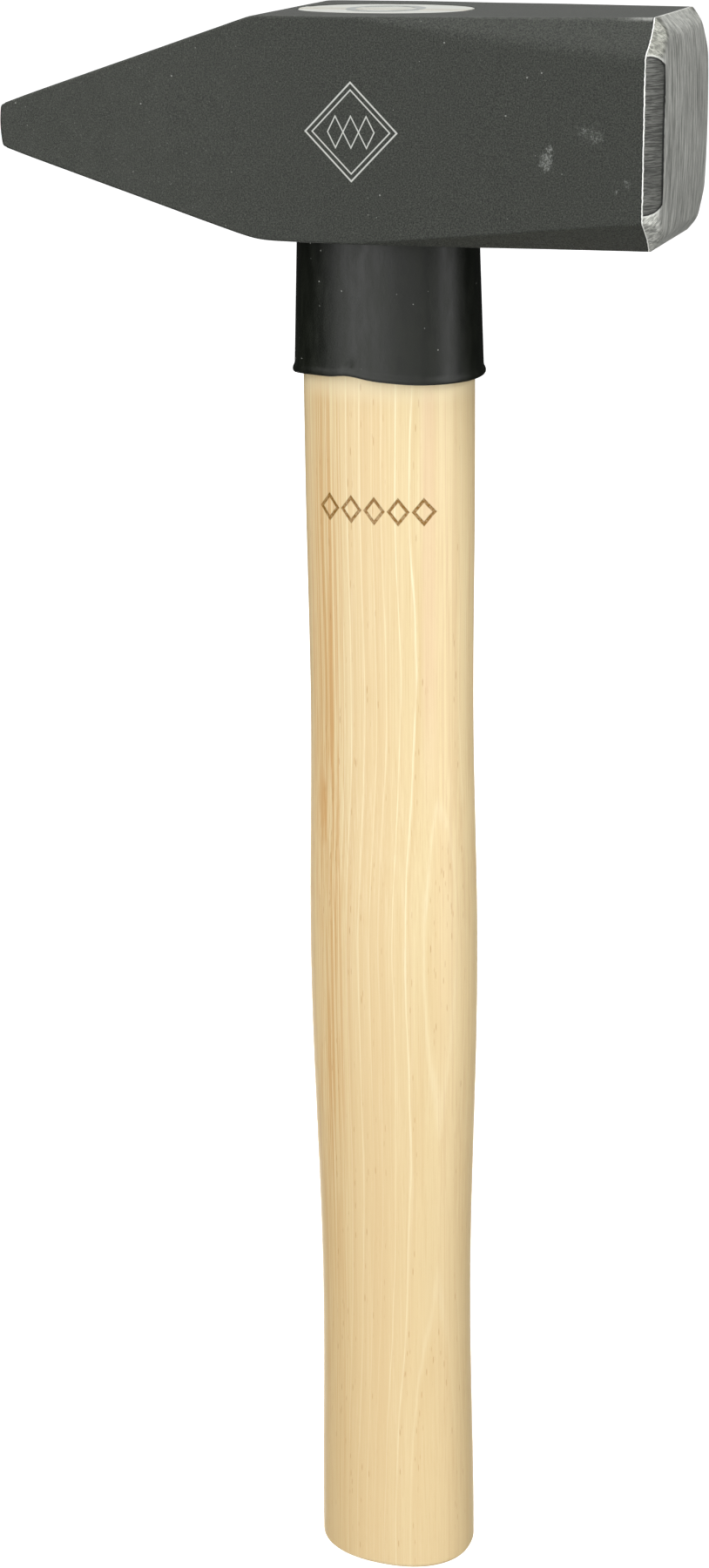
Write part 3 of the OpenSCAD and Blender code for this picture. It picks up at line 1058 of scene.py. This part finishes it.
def rim_rise(turn):
    """How far the sleeve's rim stands above its lowest."""
    degrees = math.degrees(turn) % 360
    return sum(height * bump(degrees, middle, width) for height, middle, width in RIM_HUMPS)


def dent(turn, rise):
    """How deep the sleeve is dented at a height over its rim."""
    degrees = math.degrees(turn) % 360
    across = bump(degrees - DENT_SLANT * rise, DENT_TURN, DENT_WIDTH)
    return DENT_DEPTH * across * bump(rise, DENT_RISE, DENT_HEIGHT)


def sleeve_point(turn, z, wall, rise):
    wide, thick = grip_half(z)
    wall -= dent(turn, rise)
    x, y, _ = oval_point(wide + wall, thick + wall, turn)
    return (x, y, z)


def make_sleeve(material):
    low, high = sleeve_low.z, HEAD_BOTTOM
    turns = round_turns(SLEEVE_SIDES)
    rims = [low + rim_rise(turn) for turn in turns]
    flare = [(rise, SLEEVE_WALL_BOTTOM + LIP_FLARE * share) for rise, share in LIP_OUTSIDE]
    rings = [
        [sleeve_point(turn, z, SLEEVE_GAP, CLEAR_RISE) for turn in turns] for z in (high, mix(low, high, 0.5))
    ]
    for rise, wall in (*LIP_INSIDE, *flare):
        rings.append([sleeve_point(turn, rim + rise, wall, rise) for turn, rim in zip(turns, rims)])
    for share in spaced(0.0, 1.0, SLEEVE_STEPS):
        wall = mix(SLEEVE_WALL_BOTTOM, SLEEVE_WALL_TOP, share)
        ring = []
        for turn, rim in zip(turns, rims):
            z = mix(rim + LIP_HEIGHT, high, share)
            ring.append(sleeve_point(turn, z, wall, z - rim))
        rings.append(ring)
    points = [p for ring in rings for p in ring]
    # The rings go once round the wall's section, so the last one is joined to the first
    rings.append(rings[0])
    faces = [tuple(i % len(points) for i in face) for face in ring_faces(len(rings), SLEEVE_SIDES)]
    return make_piece("guard_sleeve", points, faces, material, SLEEVE_SMOOTH)


# ---------------------------------------------------------------- stage, light and camera


# Strengths of the white surroundings: how they light the object, and how the camera sees them
AMBIENT = 0.03
BACKDROP = 1.1
FLOOR_REACH = 9000.0
FLOOR_HEIGHT = -0.2

# The soft boxes face this point
LIT_POINT = Vector((0, 0, 250))
# Each soft box: azimuth from +X towards +Y, elevation, distance, (width, height), radiance
SOFTBOXES = {
    "key": (-112, 4, 1300, (900, 1500), 2.35),
    "side": (-19, 2, 1200, (520, 1500), 2.65),
    "fill": (-68, -6, 1500, (700, 900), 1.13),
    "high_left": (-140, 48, 1400, (1200, 900), 2.2),
    "high_right": (-5, 48, 1400, (1200, 900), 3.6),
    "high_front": (-75, 55, 1400, (1200, 900), 0.6),
    "bounce": (-80, -55, 1300, (1500, 900), 0.85),
    "back": (108, 30, 1500, (1400, 900), 0.56),
    "rear_low": (112, -34, 1500, (1150, 700), 3.4),
    "rear_high": (100, 60, 1500, (1500, 900), 1.1),
    "overhead": (-150, 76, 1400, (1000, 900), 1.8),
    "underneath": (-150, -76, 1400, (1000, 900), 0.9),
    "low_front": (-75, 24, 1500, (600, 500), 1.9),
}

# The camera: its place from the head's centre, its turns in degrees, and its lens on a 36 mm image height
CAMERA_PLACE = Vector((211.6, -616.2, 69.3))
CAMERA_YAW, CAMERA_PITCH, CAMERA_ROLL = 19.772, 19.320, -0.752
CAMERA_LENS = 64.68
CAMERA_SENSOR = 36.0
CAMERA_NEAR, CAMERA_FAR = 0.01, 100.0


def make_stage():
    """A plain white floor that the camera sees, and that takes no part in lighting the object."""
    g = Graph("white_floor")
    speck = g.noise(g.millimetres(), 0.02)
    g.set(base_color=g.blend(speck, (0.92, 0.92, 0.92, 1), (0.95, 0.95, 0.95, 1)), roughness=0.9)
    g.set(emission_color=(1.0, 1.0, 1.0, 1.0), emission_strength=BACKDROP)
    corners = ((-FLOOR_REACH, -FLOOR_REACH), (FLOOR_REACH, -FLOOR_REACH),
               (FLOOR_REACH, FLOOR_REACH), (-FLOOR_REACH, FLOOR_REACH))
    points = [(x, y, FLOOR_HEIGHT) for x, y in corners]
    floor = make_piece("floor", points, [(0, 1, 2, 3)], g.material)
    floor.visible_diffuse = False
    floor.visible_glossy = False
    floor.visible_shadow = False


def make_softbox(name, azimuth, elevation, distance, size, radiance):
    data = bpy.data.lights.new(name, "AREA")
    data.shape = "RECTANGLE"
    data.size, data.size_y = size[0] * MM, size[1] * MM
    data.energy = radiance * math.pi * data.size * data.size_y
    lamp = new_object(name, data)
    turn, lift = math.radians(azimuth), math.radians(elevation)
    towards = Vector((math.cos(turn) * math.cos(lift), math.sin(turn) * math.cos(lift), math.sin(lift)))
    lamp.location = (LIT_POINT + towards * distance) * MM
    lamp.rotation_euler = (LIT_POINT * MM - lamp.location).to_track_quat("-Z", "Y").to_euler()


def make_world():
    """A white backdrop behind the floor's far edge, which lights the object only faintly."""
    world = bpy.data.worlds.new("studio")
    world.use_nodes = True
    tree = world.node_tree
    background = tree.nodes["Background"]
    background.inputs["Color"].default_value = (1, 1, 1, 1)
    seen = tree.nodes.new("ShaderNodeLightPath").outputs["Is Camera Ray"]
    strength = tree.nodes.new("ShaderNodeMapRange")
    strength.inputs["To Min"].default_value = AMBIENT
    strength.inputs["To Max"].default_value = BACKDROP
    tree.links.new(seen, strength.inputs["Value"])
    tree.links.new(strength.outputs[0], background.inputs["Strength"])
    bpy.context.scene.world = world


def make_camera():
    """The camera looks from the right of the front and from above."""
    data = bpy.data.cameras.new("camera")
    data.sensor_width = CAMERA_SENSOR
    data.lens = CAMERA_LENS
    data.clip_start = CAMERA_NEAR
    data.clip_end = CAMERA_FAR
    camera = new_object("camera", data)
    yaw = Matrix.Rotation(math.radians(CAMERA_YAW), 4, "Z")
    pitch = Matrix.Rotation(math.radians(90 - CAMERA_PITCH), 4, "X")
    roll = Matrix.Rotation(math.radians(CAMERA_ROLL), 4, "Z")
    camera.matrix_world = Matrix.Translation((HEAD_CENTRE + CAMERA_PLACE) * MM) @ yaw @ pitch @ roll
    bpy.context.scene.camera = camera


# ---------------------------------------------------------------- assembly


def dress(node, material):
    """Gives a CAD node that is shown as it is a better material."""
    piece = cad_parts[node]
    piece.data.materials.clear()
    piece.data.materials.append(material)


head = make_head(steel_material())
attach(head, "root")
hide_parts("head")

handle = make_handle(hickory_material("hickory", PALE, TAN, BROWN, GREY_END, True))
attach(handle, "root")
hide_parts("handle")

sleeve = make_sleeve(sleeve_material())
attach(sleeve, "root")
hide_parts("sleeve")

dress("wood_wedge", hickory_material("wedge_wood", WEDGE_PALE, WEDGE_TAN, BROWN, WEDGE_END, False))
dress("ring_wedge", ring_material())

make_stage()
for softbox_name, softbox in SOFTBOXES.items():
    make_softbox(softbox_name, *softbox)
make_world()
bpy.context.scene.view_settings.view_transform = "Standard"
make_camera()
